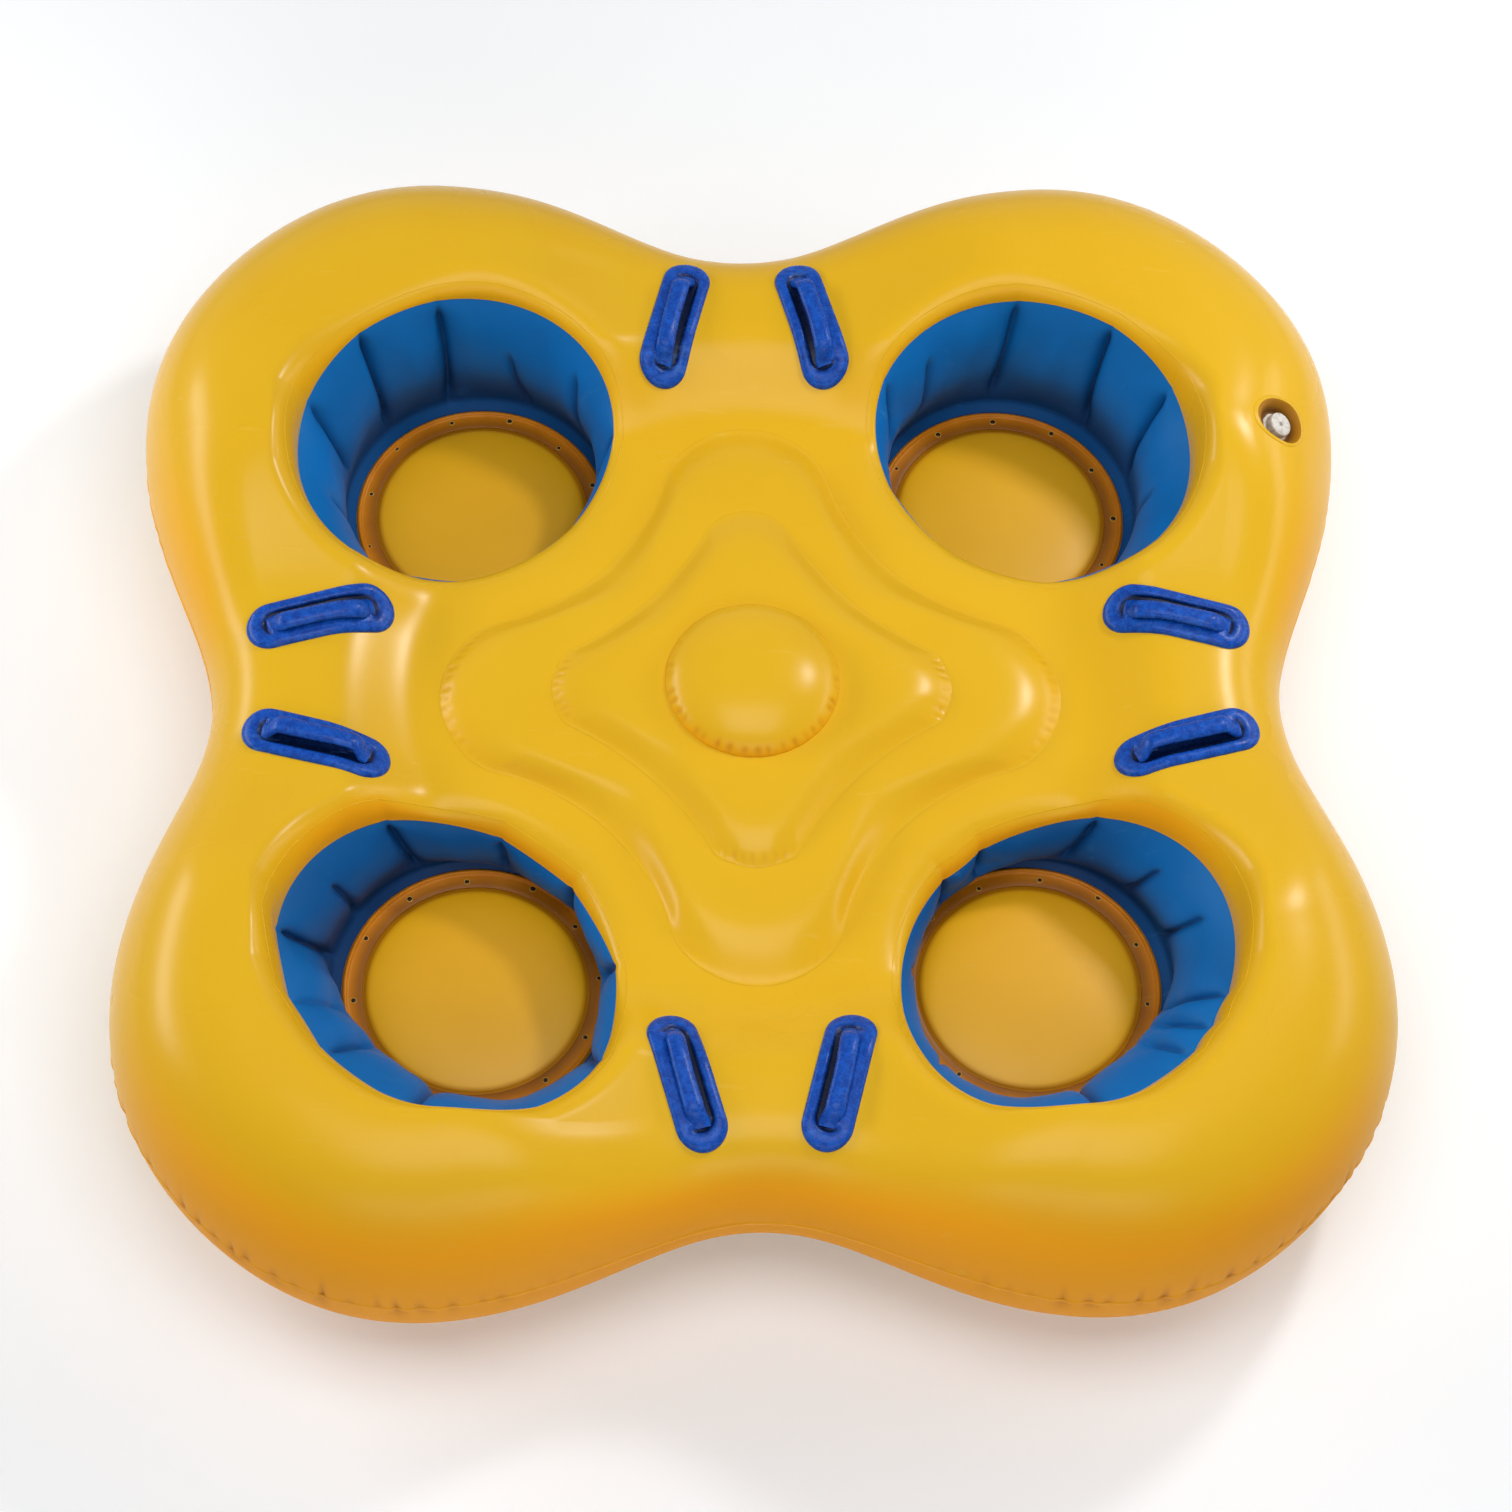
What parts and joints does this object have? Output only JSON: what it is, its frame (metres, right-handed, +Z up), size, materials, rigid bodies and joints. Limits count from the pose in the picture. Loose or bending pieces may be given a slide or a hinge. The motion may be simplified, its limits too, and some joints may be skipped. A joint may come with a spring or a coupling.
{
  "type": "inflatable pool raft",
  "caption": "Inflatable cloverleaf raft with a floored seat well in each lobe, star pillows stacked on its hub, welded grab handles on the arms and a recessed screw-cap valve.",
  "frame": {"origin": "on the ground under the middle of the raft", "axes": "+Z up; the four arms lie along +X, +Y, -X and -Y, and the lobes with the seat wells on the diagonals between them"},
  "size_m": [2.3986, 2.3986, 0.56],
  "materials": {
    "yellow_pvc": "satin welded PVC sheet",
    "amber_pvc": "satin PVC sheet",
    "well_blue_pvc": "satin PVC sheet",
    "handle_blue": "fine-textured moulded PVC",
    "valve_white": "moulded plastic",
    "seal_rubber": "matte",
    "spring_steel": "bare stainless"
  },
  "bodies": {
    "raft": {"hull_top_panel": "yellow_pvc", "hull_bottom_panel": "yellow_pvc", "perimeter_seam_tape": "yellow_pvc", "arm_web_right": "yellow_pvc", "arm_web_rear": "yellow_pvc", "arm_web_left": "yellow_pvc", "arm_web_front": "yellow_pvc", "well_liner_rear_right": "well_blue_pvc", "floor_ring_rear_right": "amber_pvc", "floor_pad_rear_right": "yellow_pvc", "well_liner_rear_left": "well_blue_pvc", "floor_ring_rear_left": "amber_pvc", "floor_pad_rear_left": "yellow_pvc", "well_liner_front_left": "well_blue_pvc", "floor_ring_front_left": "amber_pvc", "floor_pad_front_left": "yellow_pvc", "well_liner_front_right": "well_blue_pvc", "floor_ring_front_right": "amber_pvc", "floor_pad_front_right": "yellow_pvc", "hub_lower_tier": "yellow_pvc", "hub_upper_tier": "yellow_pvc", "hub_dome": "yellow_pvc", "handle_base_right_1": "handle_blue", "handle_grip_right_1": "handle_blue", "handle_base_right_2": "handle_blue", "handle_grip_right_2": "handle_blue", "handle_base_rear_1": "handle_blue", "handle_grip_rear_1": "handle_blue", "handle_base_rear_2": "handle_blue", "handle_grip_rear_2": "handle_blue", "handle_base_left_1": "handle_blue", "handle_grip_left_1": "handle_blue", "handle_base_left_2": "handle_blue", "handle_grip_left_2": "handle_blue", "handle_base_front_1": "handle_blue", "handle_grip_front_1": "handle_blue", "handle_base_front_2": "handle_blue", "handle_grip_front_2": "handle_blue", "valve_boot": "amber_pvc", "valve_body": "valve_white", "valve_nut": "valve_white", "valve_guide": "spring_steel", "valve_spring": "spring_steel"},
    "cap_gasket": {"valve_cap_gasket": "seal_rubber"},
    "cap": {"valve_cap": "valve_white"},
    "plunger": {"valve_plunger": "valve_white", "valve_seal": "seal_rubber"}
  },
  "joints": [
    {"name": "cap_lift", "type": "slide", "parent": "raft", "child": "cap_gasket", "axis": [0.5191, -0.0888, 0.8501], "range_m": [0, 0.028]},
    {"name": "cap_turn", "type": "hinge", "parent": "cap_gasket", "child": "cap", "pos_m": [1.05932, 0.54256, 0.51823], "axis": [0.5191, -0.0888, 0.8501], "range_deg": [0, 1080]},
    {"name": "plunger_press", "type": "slide", "parent": "raft", "child": "plunger", "axis": [-0.5191, 0.0888, -0.8501], "range_m": [0, 0.004], "stiffness_N_per_m": 300, "springref_m": -0.004, "deforming": ["valve_spring"]}
  ],
  "couplings": [
    {"joint": "cap_lift", "follows": "cap_turn", "m_per_rad": 0.0014854}
  ]
}
